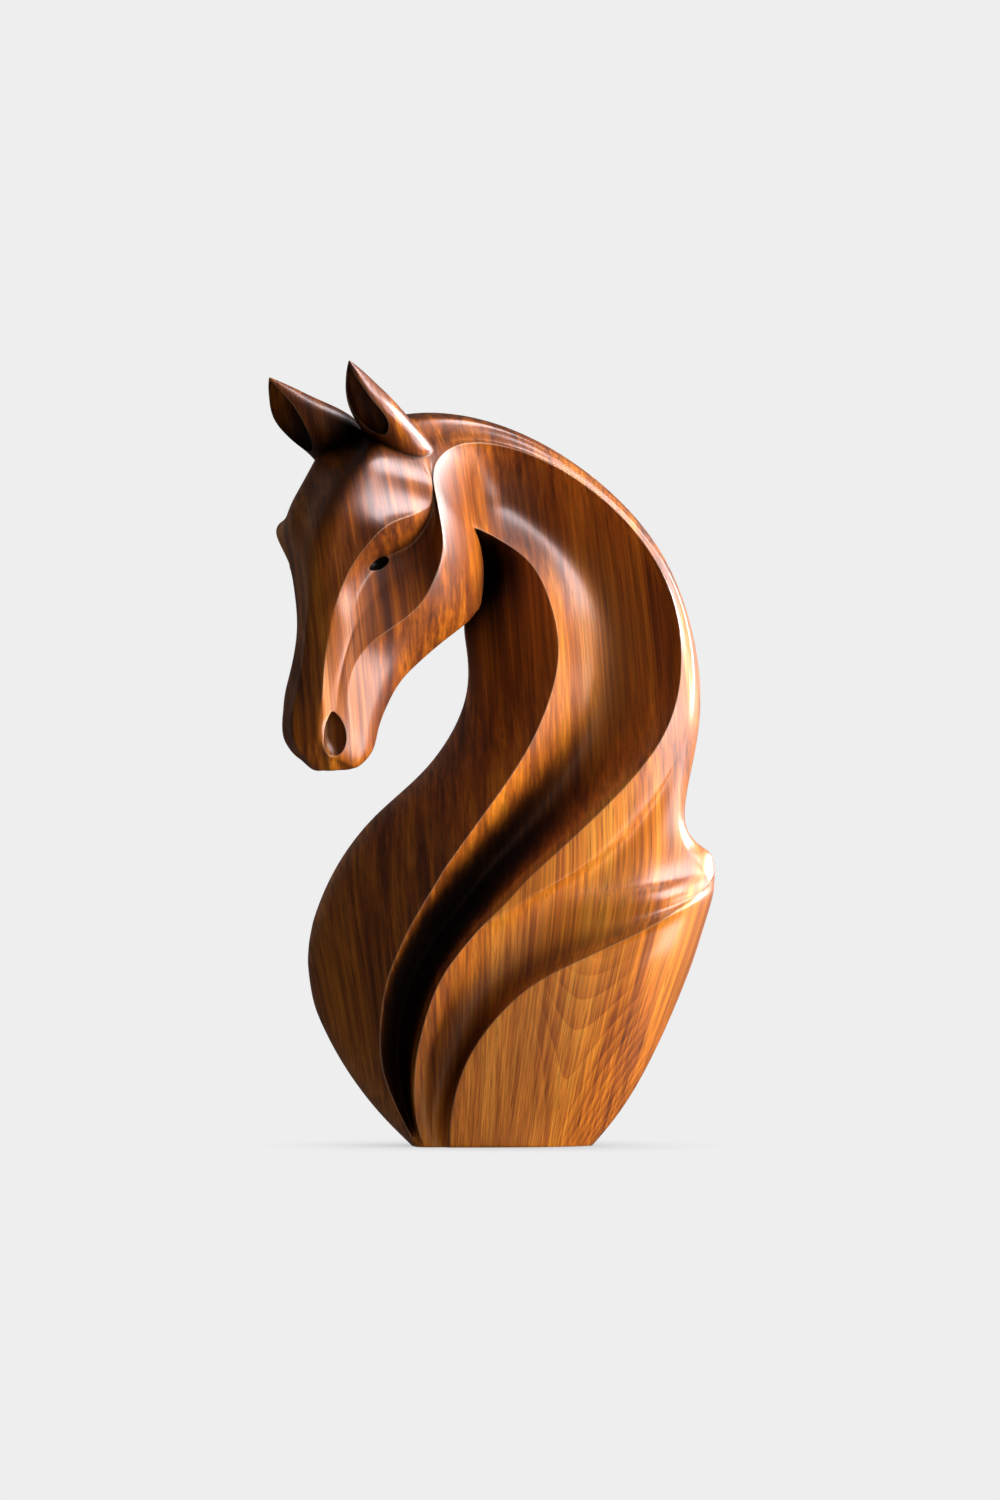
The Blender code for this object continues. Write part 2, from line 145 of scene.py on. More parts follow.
JAW = (
    (0, -65.5, 168, 5.5), (1, -59.5, 169.9, 10), (2, -53.7, 176.5, 12), (3, -51, 186.5, 11.8),
    (5, -41, 207.3, 12), (7, -22.8, 224.3, 15.5), (9, -7.2, 238, 18.5), (11, -3.9, 257, 20.5),
    (12, -5.2, 267, 21.5), (14, -7.8, 275.2, 23.5), (15, -5.2, 274.3, 24.5), (17, 2, 270.8, 25.5),
    (21, 21, 254.2, 27.5), (26, 28.5, 208.5, 30.5), (30, 7.5, 163.5, 36), (33, -20, 126, 40.5),
    (37, -49, 65, 37), (38, -50.6, 47, 33.5), (40, -42.5, 17.5, 24), (41, -35, 0, 18),
)
THROAT = (
    (0, -70.5, 168, 0), (1, -67.5, 170, 0), (5, -51.5, 208.5, 0), (7, -34, 226.5, 0), (9, -17, 238, 0),
    (15, -3, 250.3, 0), (19, -8, 241, 0), (20, -12.2, 236, 0), (24, -11, 206.5, 0), (26, -17, 185.2, 0),
    (31, -67.5, 129.8, 0), (34, -82.3, 92, 0), (39, -62.3, 30.2, 0), (40, -52, 16.5, 0), (41, -38, 0, 0),
)
LINES = {
    "crest": CREST, "brow": BROW, "socket": SOCKET, "flute": FLUTE, "cheek": CHEEK, "jaw": JAW,
    "throat": THROAT,
}

# Between two lines, at a share of the way, the surface swells or hollows by these: station, millimetres.
BETWEEN = {
    "crest side": ("crest", "brow", 0.22, (
        (0, 0.4), (4, 0.5), (6, 1), (7, 2.2), (12, 11), (18, 12), (22, 8), (27, 4), (31, 3.4), (33, 3.2),
        (34, 2.6), (36, 17), (41, 10))),
    "brow side": ("crest", "brow", 0.58, (
        (0, 0.4), (4, 0.5), (7, 1.6), (12, 8), (18, 7.5), (22, 5), (27, 3.2), (31, 2.8), (33, 2.6), (34, 2.4),
        (36, 13), (41, 8))),
    "ribbon": ("socket", "flute", 0.6, (
        (0, 0), (8, -0.5), (12, 0), (28, 0), (30, 0), (31, -1.5), (32, -4), (34, -4.5), (35, -4.5),
        (36, -3.5), (38, -2.5), (41, -0.5))),
    "rim": ("cheek", "jaw", 0.13, (
        (0, 0.1), (3, 0.3), (6, 0.8), (12, 1), (15, -1), (18, -4), (22, -6), (27, -6.5), (30, -4.5),
        (34, -4.5), (38, -4), (41, 0))),
    "groove": ("cheek", "jaw", 0.5, (
        (0, 1), (3, 1.4), (6, 2.6), (10, 3), (13, 2), (15, -3), (17, -9), (20, -13), (28, -18), (32, -27),
        (36, -32), (38, -25), (40, -9), (41, 0))),
    "neck band": ("cheek", "jaw", 0.8, (
        (0, 1), (10, 2), (13, 1), (15, -3), (17, -6.5), (20, -8.5), (26, -10), (29, -11), (32, -14),
        (36, -18), (38, -14), (41, 0))),
    "chest": ("jaw", "throat", 0.5, (
        (0, 1), (5, 3), (9, 1), (12, -5), (16, -6), (20, -1), (30, 5), (41, 3))),
}
# The lines in their order round one half of a section.
AROUND = (
    "crest", "crest side", "brow side", "brow", "socket", "ribbon", "flute", "cheek", "rim", "groove",
    "neck band", "jaw", "chest", "throat",
)
# The stations of the sections.
STATIONS = (
    0, 0.5, 1, 2, 3, 4, 5, 6, 7, 8, 9, 10, 11, 12, 13, 14, 15.5, 17.5, 20, 22.5, 25, 27.5, 29.5, 31.5, 33,
    33.5, 34, 34.5, 35, 36, 37, 38.5, 40, 41,
)
# Sharp stretches of the lines: first station, last station, sharpness.
SHARP = {
    "brow": ((2, 12, 1.0), (12, 13, 0.5), (34, 41, 1.0)),
    "socket": ((5, 8, 0.45), (8, 12, 0.9), (12, 13, 0.4)),
    "flute": ((31, 34, 0.8), (34, 36, 0.3)),
    "cheek": ((2, 4, 0.4), (4, 41, 1.0)),
    "rim": ((28, 30, 0.4), (30, 40, 0.8)),
    "jaw": ((0, 9, 0.4), (9, 41, 1.0)),
}
# The far brow is softer between two stations. The lip behind the shoulder is one sharp section.
FAR_BROW_SHARPNESS = 0.55
FAR_BROW_STATIONS = (6, 13)
LIP_STATION = 34
# The edge of the flat foot is rounded by this many millimetres, and is a little sharp where that starts.
BASE_EDGE_ROUNDING = 1.8
BASE_SIDE_SHARPNESS = 0.3

# An ear's sections: depth below the tip, then middle and half length across the near view and the far view.
EAR_TIP_NEAR = 349.5
EAR_TIP_FAR = 342.0
EAR_POINTS = 8
EAR = (
    (0, 76.6, 0.5, 127.1, 0.6), (4.5, 73.2, 5.9, 119.9, 9.2), (9.5, 69.8, 10.2, 112.5, 16.5),
    (14.5, 65.9, 14.6, 103.2, 26.2), (22, 59.7, 18.9, 94.6, 31.4), (29.5, 52, 20.2, 84, 29.5),
    (34, 46.5, 21, 77, 27), (40, 41, 21, 72, 25.5), (44, 41.5, 18.5, 68.5, 22), (48, 42, 13, 62, 15),
)
# The hollow inside it: depth below the tip, middle along and across the head, half width, half depth.
EAR_HOLLOW = (
    (1.5, 101.2, 24.9, 0.5, 1), (6, 98.6, 24, 3.6, 5), (10, 96.2, 23.6, 6.1, 8.4),
    (14.5, 93.6, 23.3, 8.4, 11.6), (22, 89.8, 23.5, 10.2, 13.6), (28, 86.4, 23.6, 8.9, 11.5),
    (32, 83.5, 23.4, 5.2, 7), (34, 82.5, 23.5, 2, 2.5),
)
# Bowls cut in each side of the head: x, z and half width of the middle, half sizes along, up and in, tilt,
# and how far the widest place lies below the middle.
NOSTRIL_RIM = (-71.8, 183.8, 17.5, 11, 15.8, 6, 0.08, 0.15)
NOSTRIL = (-70.4, 183.6, 13.8, 7.2, 10.8, 8, 0.12, 0.25)
EYE = (-50.8, 259.4, 17.3, 6.8, 3, 5.5, 0.42, 0)
# Rings of a bowl, how pointed its ends are, and points of a ring.
BOWL_RINGS = 6
BOWL_POINT = 1.2
BOWL_POINTS = 8

# The grain, in metres. It fans out between two heights, bends about one and wanders a little.
FAN_HEIGHTS = (-0.05, 0.14)
FAN = (1.3, 0.8)
BEND_HEIGHT = 0.13
BEND = 0.4
WANDER = 0.008
WANDER_STRETCH = (1, 1, 0.4)
WANDER_SCALE = 11
WANDER_DEEP_SHARE = 0.6

# The growth rings, around the pith, and the patch of the low flat face where they show.
PITH_X = 0.036
PITH_Y = 0.008
TAPER = -0.46
RINGS = 100
RING_STRETCH = (1, 0.1, 0.03)
RING_WAVINESS = 3.0
RING_DETAIL = 3
RING_DETAIL_SCALE = 1.2
PATCH_MIDDLE = (0.044, 0, 0.038)
PATCH_HALF_WIDTH = 0.036
PATCH_HALF_HEIGHT = 0.065
PATCH_FADE = (0.45, 1.0)

# Noises of the wood: how fast they change across, deep in and along the grain, then detail and roughness.
ZONES = ((38, 14, 0.8), 1, 0.5)
STREAKS = ((310, 50, 1.2), 3, 0.7)
FIBRES = ((1100, 120, 5), 2, 0.6)
PORES = ((1900, 250, 30), 1, 0.5)
NOISE_RANGE = (0.3, 0.7)
NOISE_MIDDLE = 0.5

# What each adds to the tone of the wood, from 0 dark to 1 pale, and the colours of the tones. The corner ones
# are painted light and shade.
ZONE_SHARE = 0.36
STREAK_SHARE = 0.60
RING_SHARE = 0.10
CORNER_SLOPE = 0.8
CORNER_RANGE = (-0.27, 0.02)
PAINTED_CORNER_TONES = (-0.08, 0.03)
TONES = (
    (0.28, (0.12, 0.025, 0.003)),
    (0.39, (0.32, 0.078, 0.007)),
    (0.47, (0.54, 0.150, 0.012)),
    (0.56, (0.72, 0.235, 0.018)),
    (0.70, (0.86, 0.37, 0.045)),
)

# Fibres, pores, painted highlights on the arrises and painted shade in the hollows, over the tones.
WHITE = (1, 1, 1, 1)
FIBRE_SHADES = (0.68, 1.2)
PORE_RANGE = (0.63, 0.75)
PORE_DEPTHS = (0.0, 0.6)
PORE_COLOUR = (0.08, 0.02, 0.005, 1)
EDGE_RADIUS = 0.0012
EDGE_SAMPLES = 6
EDGE_RANGE = (0.995, 0.86)
EDGE_HIGHLIGHT_SHARE = 0.5
EDGE_HIGHLIGHT_COLOUR = (0.85, 0.55, 0.36, 1)
OPENNESS_SAMPLES = 8
HOLLOW_REACH = 0.03
HOLLOW_RANGE = (0.38, 0.95)
HOLLOW_SHADES = (0.04, 1.0)

# The oil finish.
ROUGHNESS = (0.50, 0.40)
SPECULAR = 0.3
COAT_ROUGHNESS = 0.28
COAT_IOR = 1.5
FIBRE_RELIEF = 0.4
BUMP_STRENGTH = 0.25
BUMP_DISTANCE = 0.0002

# The backdrop with its painted contact shadow under the foot, and the dim light from all around.
BACKDROP = 0.855
CONTACT_SHADE = 0.55
CONTACT_REACH = 0.06
FLOOR_RADIUS = 6.0
FLOOR_POINTS = 96
SURROUNDING_LIGHT = 0.035

# Lights around the middle of the figure: name, azimuth, elevation, width and height, power and colour.
# The soft ones light the wood and give no shine, and the others give only shine.
FIGURE_MIDDLE = 0.19
LIGHT_DISTANCE = 1.5
SOFT_LIGHTS = (
    ("key", -9, 5, (0.7, 0.7), 42, (1.0, 0.93, 0.82)),
    ("top", 10, 52, (0.7, 0.7), 14, (1.0, 0.95, 0.9)),
    ("fill", -62, -30, (1.2, 1.2), 7, (1.0, 0.9, 0.8)),
    ("back_fill", 125, 15, (1.2, 1.2), 9, (1.0, 0.95, 0.9)),
)
SHEEN_LIGHTS = (
    ("sheen", -22, 43, (1.0, 1.1), 39, (0.97, 0.94, 1.0)),
    ("side_sheen", 29, 12, (0.9, 0.8), 44, (0.96, 0.95, 1.0)),
    ("low_sheen", -3, -12, (0.9, 0.6), 11, (0.96, 0.95, 1.0)),
)

# The camera: metres to a pixel, the image and the figure's middle in pixels, the sensor in millimetres.
PIXEL = 0.0004507
IMAGE_WIDTH, IMAGE_HEIGHT = 1000, 1500
FIGURE_MIDDLE_PIXEL = (492.3, 754.1)
SENSOR_HEIGHT = 36
FAR_CLIP = 50


def smooth_step(start, end, at):
    t = np.clip((at - start) / (end - start), 0, 1)
    return t * t * (3 - 2 * t)


def curve(rows, at):
    """Smooth curve through rows of (station, values...), read at the stations in at."""
    rows = np.array(rows, float)
    knots, values = rows[:, 0], rows[:, 1:]
    step = np.diff(knots)[:, None]
    rise = np.diff(values, axis=0) / step
    slope = np.empty_like(values)
    slope[0], slope[-1] = rise[0], rise[-1]
    slope[1:-1] = (rise[:-1] * step[1:] + rise[1:] * step[:-1]) / (step[1:] + step[:-1])
    i = np.clip(np.searchsorted(knots, at, side="right") - 1, 0, len(knots) - 2)
    t = ((at - knots[i]) / step[i, 0])[:, None]
    start = (2 * t**3 - 3 * t**2 + 1) * values[i] + (t**3 - 2 * t**2 + t) * step[i] * slope[i]
    end = (3 * t**2 - 2 * t**3) * values[i + 1] + (t**3 - t**2) * step[i] * slope[i + 1]
    return start + end


def in_space(line, turn, side):
    """Points in millimetres from rows of x, z and half width. The side is 1 near, -1 far.

    A point is found on the near side, where it is seen, and mirrored in the
    middle plane for the far side. Nearer points are drawn in, as a viewer at
    VIEW_DISTANCE sees them larger.
    """
    x, z, width = np.transpose(line)
    along = (TURN_AXIS_X - x + width * np.sin(turn)) / np.cos(turn)
    width = width * side
    y = -along * np.sin(turn) - width * np.cos(turn)
    seen_y = -BASE_NEAR + (y + BASE_NEAR) * np.clip(z / BASE_NEAR_HEIGHT, 0, 1)
    across = TURN_AXIS_X - along * np.cos(turn) + width * np.sin(turn)
    drawn = np.column_stack([
        across * (1 + y / VIEW_DISTANCE) - DRAWN_MIDDLE_X,
        y - DRAWN_MIDDLE_Y,
        VIEW_HEIGHT + (z - VIEW_HEIGHT) * (1 + seen_y / VIEW_DISTANCE) - DRAWN_BASE,
    ])
    return drawn * (WIDTH / DRAWN_WIDTH, HEIGHT / DRAWN_HEIGHT, HEIGHT / DRAWN_HEIGHT)


def half_sections(side):
    """One side of every section, as [around, station, xyz]."""
    at = np.array(STATIONS, float)
    turn = HEAD_TURN * (1 - smooth_step(*TURN_ENDS, at))
    lines = {name: curve(rows, at) for name, rows in LINES.items()}
    for name, (first, second, share, swell) in BETWEEN.items():
        line = lines[first] + (lines[second] - lines[first]) * share
        amount = curve(swell, at)[:, 0]
        if side < 0 and first == "crest":
            amount *= FAR_FOREHEAD * smooth_step(*FAR_FOREHEAD_START, at)
        elif side < 0 and first != "jaw":
            amount *= FAR_DEPTH
        line[:, 2] += amount
        lines[name] = line
    return [in_space(lines[name], turn, side) for name in AROUND]


def section_points():
    """Every section as [station, around, xyz], and last the flat foot, drawn in from the lowest section."""
    near = half_sections(1)
    far = half_sections(-1)
    sections = np.stack(near + far[-2:0:-1], axis=1)
    foot = sections[-1].copy()
    inward = foot.mean(axis=0) - foot
    foot += inward * BASE_EDGE_ROUNDING / np.linalg.norm(inward, axis=1)[:, None]
    foot[:, 2] = 0
    sections[-1, :, 2] = BASE_EDGE_ROUNDING
    return np.concatenate([sections, [foot]])


def new_object(name, points, faces, collection):
    mesh = bpy.data.meshes.new(name)
    mesh.from_pydata([tuple(point * MM) for point in points], [], faces)
    shape = bmesh.new()
    shape.from_mesh(mesh)
    bmesh.ops.recalc_face_normals(shape, faces=shape.faces)
    shape.to_mesh(mesh)
    shape.free()
    obj = bpy.data.objects.new(name, mesh)
    collection.objects.link(obj)
    return obj


def tube(name, sections, collection):
    """A closed tube through the sections, each a ring of points, with a point in the middle of each end."""
    count = len(sections[0])
    points = [point for ring in sections for point in ring]
    faces = []
    for start in range(0, count * (len(sections) - 1), count):
        for j in range(count):
            after = (j + 1) % count
            faces.append((start + j, start + after, start + count + after, start + count + j))
    for start, ring in ((0, sections[0]), (count * (len(sections) - 1), sections[-1])):
        points.append(np.mean(ring, axis=0))
        faces += [(start + j, start + (j + 1) % count, len(points) - 1) for j in range(count)]
    return new_object(name, points, faces, collection)


def smooth(obj, levels):
    modifier = obj.modifiers.new("Rounded form", "SUBSURF")
    modifier.levels = levels
    modifier.render_levels = levels
    return modifier


def sharpness(line, station, side):
    """How sharp a line is just after a station."""
    for start, end, amount in SHARP.get(line, ()):
        if start <= station < end or station == end == LAST_STATION:
            soft = line == "brow" and side < 0 and FAR_BROW_STATIONS[0] < station < FAR_BROW_STATIONS[1]
            return FAR_BROW_SHARPNESS if soft else amount
    return 0.0


def set_sharp_lines(obj):
    """Keeps the carved arrises, the lip behind the shoulder and the base's edge from being rounded away."""
    count = 2 * len(AROUND) - 2
    sharp = {}
    for j in range(count):
        side = 1 if j < len(AROUND) else -1
        line = AROUND[j] if side > 0 else AROUND[count - j]
        for i, station in enumerate(STATIONS):
            sharp[frozenset((i * count + j, (i + 1) * count + j))] = sharpness(line, station, side)
    for ring, amount in ((len(STATIONS) - 1, BASE_SIDE_SHARPNESS), (len(STATIONS), 1.0)):
        for j in range(count):
            sharp[frozenset((ring * count + j, ring * count + (j + 1) % count))] = amount
    lip = int(np.searchsorted(STATIONS, LIP_STATION)) * count
    brow = AROUND.index("brow")
    for j in range(-brow, brow):
        sharp[frozenset((lip + j % count, lip + (j + 1) % count))] = 1.0
    crease = obj.data.attributes.new("crease_edge", "FLOAT", "EDGE")
    for edge in obj.data.edges:
        crease.data[edge.index].value = sharp.get(frozenset(edge.vertices), 0.0)


def points_of(mesh):
    points = np.empty(len(mesh.vertices) * 3)
    mesh.vertices.foreach_get("co", points)
    return points.reshape(-1, 3)


def evaluated_points(obj):
    bpy.context.view_layer.update()
    evaluated = obj.evaluated_get(bpy.context.evaluated_depsgraph_get())
    points = points_of(evaluated.to_mesh())
    evaluated.to_mesh_clear()
    return points


def pull_onto_lines(obj):
    """Moves the cage until the rounded surface itself passes through the carved lines."""
    target = points_of(obj.data)
    cage = target.copy()
    # The last two points are the middles of the tube's ends, and lie on no line.
    on_lines = len(target) - 2
    for _ in range(FIT_ROUNDS):
        cage[:on_lines] += (target - evaluated_points(obj)[:len(target)])[:on_lines]
        obj.data.vertices.foreach_set("co", cage.ravel())
        obj.data.update()


def body(collection):
    obj = tube("carved_horse", section_points(), collection)
    set_sharp_lines(obj)
    modifier = smooth(obj, FIT_LEVELS)
    pull_onto_lines(obj)
    modifier.levels = FINE_LEVELS
    modifier.render_levels = FINE_LEVELS
    return obj


def on_head(along, out, z, side):
    """Points in the turned head: distance along its middle plane, half width and height as seen."""
    x = TURN_AXIS_X - (along - out) * HEAD_SLANT
    return in_space(np.column_stack([x, z, out]), HEAD_TURN, side)


def ring_angles(count):
    return np.arange(count) * 2 * math.pi / count


def ear(side, collection):
    tip = EAR_TIP_NEAR if side > 0 else EAR_TIP_FAR
    angle = ring_angles(EAR_POINTS)
    rings = []
    for depth, near, near_half, far, far_half in EAR:
        near_at = near + near_half * np.cos(angle)
        far_at = far + far_half * np.sin(angle)
        z = np.full(EAR_POINTS, tip - depth)
        rings.append(on_head((far_at + near_at) / 2, (far_at - near_at) / 2, z, side))
    obj = tube("ear", rings, collection)
    smooth(obj, FINE_LEVELS)
    return obj


def ear_hollow(side, collection):
    tip = EAR_TIP_NEAR if side > 0 else EAR_TIP_FAR
    angle = ring_angles(EAR_POINTS)
    rings = []
    for depth, along, out, half_width, half_depth in EAR_HOLLOW:
        z = np.full(EAR_POINTS, tip - depth)
        rings.append(on_head(along + half_depth * np.cos(angle), out + half_width * np.sin(angle), z, side))
    obj = tube("ear hollow", rings, collection)
    smooth(obj, FINE_LEVELS)
    return obj


def bowl(size, side, collection):
    """An egg-shaped cutter on one side of the head."""
    x, z, out, half_along, half_up, half_in, tilt, lean = size
    middle = (TURN_AXIS_X - x) / HEAD_SLANT + out
    angle = ring_angles(BOWL_POINTS)
    rings = []
    for k in range(BOWL_RINGS):
        rise = math.pi * (k + 0.5) / BOWL_RINGS
        forward = half_along * math.sin(rise) ** BOWL_POINT * (1 - lean * math.cos(rise)) * np.cos(angle)
        up = half_up * math.cos(rise)
        along = middle + forward * math.cos(tilt) + up * math.sin(tilt)
        height = z + up * math.cos(tilt) - forward * math.sin(tilt)
        rings.append(on_head(along, out + half_in * math.sin(rise) * np.sin(angle), height, side))
    obj = tube("bowl", rings, collection)
    smooth(obj, FINE_LEVELS)
    return obj


def combine(obj, other, operation):
    """Joins the other solid to the object, or cuts it out of it."""
    modifier = obj.modifiers.new(f"{operation.title()} {other.name}", "BOOLEAN")
    modifier.operation = operation
    modifier.object = other
    modifier.solver = "EXACT"


def node(tree, kind, *inputs, output=None, **settings):
    """Adds a shader node and returns the output with that name, or else the first one in use.

    The inputs are numbers, colours or other outputs, in the order of the
    node's sockets.
    """
    made = tree.nodes.new("ShaderNode" + kind)
    for name, value in settings.items():
        setattr(made, name, value)
    sockets = [socket for socket in made.inputs if socket.enabled]
    for socket, value in zip(sockets, inputs):
        if isinstance(value, bpy.types.NodeSocket):
            tree.links.new(value, socket)
        else:
            socket.default_value = value
    if output:
        return made.outputs[output]
    return [socket for socket in made.outputs if socket.enabled][0]


def math_node(tree, operation, *inputs):
    return node(tree, "Math", *inputs, operation=operation)


def noise(tree, vector, scale=1, detail=0, rough=0.5):
    return node(tree, "TexNoise", vector, scale, detail, rough)


def stretched(tree, place, scales):
    """A vector of three coordinates, each times its own scale."""
    return node(tree, "CombineXYZ", *[math_node(tree, "MULTIPLY", *pair) for pair in zip(place, scales)])


def grain_noise(tree, block, kind):
    """One of the noises of the wood, stretched along the grain."""
    stretch, detail, rough = kind
    return noise(tree, stretched(tree, block, stretch), detail=detail, rough=rough)


def between(tree, value, ends, results=(0.0, 1.0)):
    """The value mapped smoothly from between the two ends to between the two results."""
    return node(tree, "MapRange", value, *ends, *results, interpolation_type="SMOOTHSTEP")


def ramp(tree, value, stops):
    """Colours at positions from 0 to 1, with an even change from each to the next."""
    made = tree.nodes.new("ShaderNodeValToRGB")
    tree.links.new(value, made.inputs["Fac"])
    elements = made.color_ramp.elements
    while len(elements) < len(stops):
        elements.new(0.5)
    for element, (position, colour) in zip(elements, stops):
        element.position = position
        element.color = (*colour, 1)
    return made.outputs["Color"]


def blend(tree, mode, amount, first, second):
    return node(tree, "Mix", amount, first, second, data_type="RGBA", blend_type=mode)


def grey(tree, value):
    return node(tree, "CombineColor", value, value, value)


def openness(tree, reach):
    """1 in the open, and less the more that lies within reach around a point."""
    return node(tree, "AmbientOcclusion", WHITE, reach, samples=OPENNESS_SAMPLES, output="AO")


def place_on_figure(tree):
    """The place on the figure, in metres from under its middle."""
    return node(tree, "TexCoord", output="Object")


def coordinates(tree):
    """The x, y and z of the place on the figure."""
    split = tree.nodes.new("ShaderNodeSeparateXYZ")
    tree.links.new(place_on_figure(tree), split.inputs[0])
    return split.outputs


def grain_space(tree):
    """Coordinates of the block of wood: across the grain, deep and along it.

    The grain runs up the figure. It fans out from below the foot, bends
    forward in the neck and wanders a little.
    """
    x, y, z = coordinates(tree)
    height = math_node(tree, "SUBTRACT", z, BEND_HEIGHT)
    bow = math_node(tree, "MULTIPLY", math_node(tree, "MULTIPLY", height, height), BEND)
    spread = between(tree, z, FAN_HEIGHTS, FAN)
    across = math_node(tree, "ADD", math_node(tree, "MULTIPLY", x, spread), bow)
    wander = noise(tree, stretched(tree, (x, y, z), WANDER_STRETCH), WANDER_SCALE)
    wander = math_node(tree, "MULTIPLY", math_node(tree, "SUBTRACT", wander, NOISE_MIDDLE), WANDER)
    across = math_node(tree, "ADD", across, wander)
    deep = math_node(tree, "ADD", y, math_node(tree, "MULTIPLY", wander, WANDER_DEEP_SHARE))
    return across, deep, z


def growth_rings(tree, across, deep, along):
    """0 to 1 across each growth ring.

    The rings are cones that open upwards, so a flat face cuts them in
    arches with their bends at the bottom.
    """
    side = math_node(tree, "SUBTRACT", across, PITH_X)
    back = math_node(tree, "SUBTRACT", deep, PITH_Y)
    side_square = math_node(tree, "MULTIPLY", side, side)
    back_square = math_node(tree, "MULTIPLY", back, back)
    distance = math_node(tree, "SQRT", math_node(tree, "ADD", side_square, back_square))
    radius = math_node(tree, "ADD", distance, math_node(tree, "MULTIPLY", along, TAPER))
    place = stretched(tree, (radius, deep, along), RING_STRETCH)
    shape = (RINGS, RING_WAVINESS, RING_DETAIL, RING_DETAIL_SCALE)
    return node(tree, "TexWave", place, *shape, wave_profile="SAW", output="Fac")


def low_face(tree):
    """1 in the middle of the low flat face, where the arches of the rings show, and 0 away from it."""
    shifted = node(tree, "VectorMath", place_on_figure(tree), PATCH_MIDDLE, operation="SUBTRACT")
    shares = (1 / PATCH_HALF_WIDTH, 0, 1 / PATCH_HALF_HEIGHT)
    scaled = node(tree, "VectorMath", shifted, shares, operation="MULTIPLY")
    distance = node(tree, "VectorMath", scaled, operation="LENGTH")
    return between(tree, distance, PATCH_FADE, (1.0, 0.0))


def painted_edge_highlights(tree):
    """1 on the arrises, which get a pale painted highlight, and 0 on the faces between them.

    Also returns the normal of the surface with its arrises rounded.
    """
    rounded = node(tree, "Bevel", EDGE_RADIUS, samples=EDGE_SAMPLES)
    plain = node(tree, "NewGeometry", output="Normal")
    facing = node(tree, "VectorMath", rounded, plain, operation="DOT_PRODUCT")
    return between(tree, facing, EDGE_RANGE), rounded


def painted_light_and_shade(tree):
    """Painted light and shade: paler towards the lower right corner, and darkest in the neck and the face."""
    x, _, z = coordinates(tree)
    corner = math_node(tree, "SUBTRACT", x, math_node(tree, "MULTIPLY", z, CORNER_SLOPE))
    return between(tree, corner, CORNER_RANGE, PAINTED_CORNER_TONES)


def hollows(tree):
    """Painted shade, darkest deep in the ears, the nostrils and the grooves."""
    return between(tree, openness(tree, HOLLOW_REACH), HOLLOW_RANGE, HOLLOW_SHADES)


def wood_colour(tree, block, streaks):
    """The colour by broad zones, streaks, growth rings and painted light and shade by the corner."""
    rings = math_node(tree, "MULTIPLY", growth_rings(tree, *block), low_face(tree))
    tone = math_node(tree, "MULTIPLY", grain_noise(tree, block, ZONES), ZONE_SHARE)
    tone = math_node(tree, "ADD", tone, math_node(tree, "MULTIPLY", streaks, STREAK_SHARE))
    tone = math_node(tree, "SUBTRACT", tone, math_node(tree, "MULTIPLY", rings, RING_SHARE))
    tone = math_node(tree, "ADD", tone, painted_light_and_shade(tree))
    return ramp(tree, tone, TONES)


def walnut():
    material = bpy.data.materials.new("oiled_walnut")
    material.use_nodes = True
    tree = material.node_tree
    shader = tree.nodes["Principled BSDF"]
    block = grain_space(tree)
    streaks = grain_noise(tree, block, STREAKS)
    fibres = grain_noise(tree, block, FIBRES)
    pores = between(tree, grain_noise(tree, block, PORES), PORE_RANGE, PORE_DEPTHS)
    edges, rounded = painted_edge_highlights(tree)
    shade = hollows(tree)

    colour = wood_colour(tree, block, streaks)
    fibre_shade = between(tree, fibres, NOISE_RANGE, FIBRE_SHADES)
    colour = blend(tree, "MULTIPLY", 1.0, colour, grey(tree, fibre_shade))
    colour = blend(tree, "MIX", pores, colour, PORE_COLOUR)
    # Painted highlight: the arrises are mixed towards a pale colour.
    colour = blend(tree, "MIX", math_node(tree, "MULTIPLY", edges, EDGE_HIGHLIGHT_SHARE), colour, EDGE_HIGHLIGHT_COLOUR)
    # Painted shade: the colour darkens in the hollows.
    colour = blend(tree, "MULTIPLY", 1.0, colour, grey(tree, shade))
    tree.links.new(colour, shader.inputs["Base Color"])

    tree.links.new(between(tree, streaks, NOISE_RANGE, ROUGHNESS), shader.inputs["Roughness"])
    shader.inputs["Specular IOR Level"].default_value = SPECULAR
    # The painted shade of the hollows also thins the coat, so they shine less.
    tree.links.new(shade, shader.inputs["Coat Weight"])
    shader.inputs["Coat Roughness"].default_value = COAT_ROUGHNESS
    shader.inputs["Coat IOR"].default_value = COAT_IOR

    relief = math_node(tree, "SUBTRACT", math_node(tree, "MULTIPLY", fibres, FIBRE_RELIEF), pores)
    bump = tree.nodes.new("ShaderNodeBump")
    bump.inputs["Strength"].default_value = BUMP_STRENGTH
    bump.inputs["Distance"].default_value = BUMP_DISTANCE
    tree.links.new(relief, bump.inputs["Height"])
    tree.links.new(rounded, bump.inputs["Normal"])
    tree.links.new(bump.outputs["Normal"], shader.inputs["Normal"])
    return material


def pale_backdrop():
    """An even pale surface that throws no light back on the figure, with a painted contact shadow close under
    the foot.
    """
    material = bpy.data.materials.new("pale_backdrop")
    material.use_nodes = True
    tree = material.node_tree
    tree.nodes.remove(tree.nodes["Principled BSDF"])
    shade = between(tree, openness(tree, CONTACT_REACH), (0.0, 1.0), (CONTACT_SHADE, BACKDROP))
    glow = node(tree, "Emission", grey(tree, shade))
    tree.links.new(glow, tree.nodes["Material Output"].inputs["Surface"])
    return material


def floor():
    bpy.ops.mesh.primitive_circle_add(
        vertices=FLOOR_POINTS, radius=FLOOR_RADIUS, fill_type="NGON", location=(0, 0, 0))
    obj = bpy.context.object
    obj.name = "studio_floor"
    obj.data.materials.append(pale_backdrop())
    for ray in ("visible_diffuse", "visible_glossy", "visible_shadow", "visible_transmission"):
        setattr(obj, ray, False)


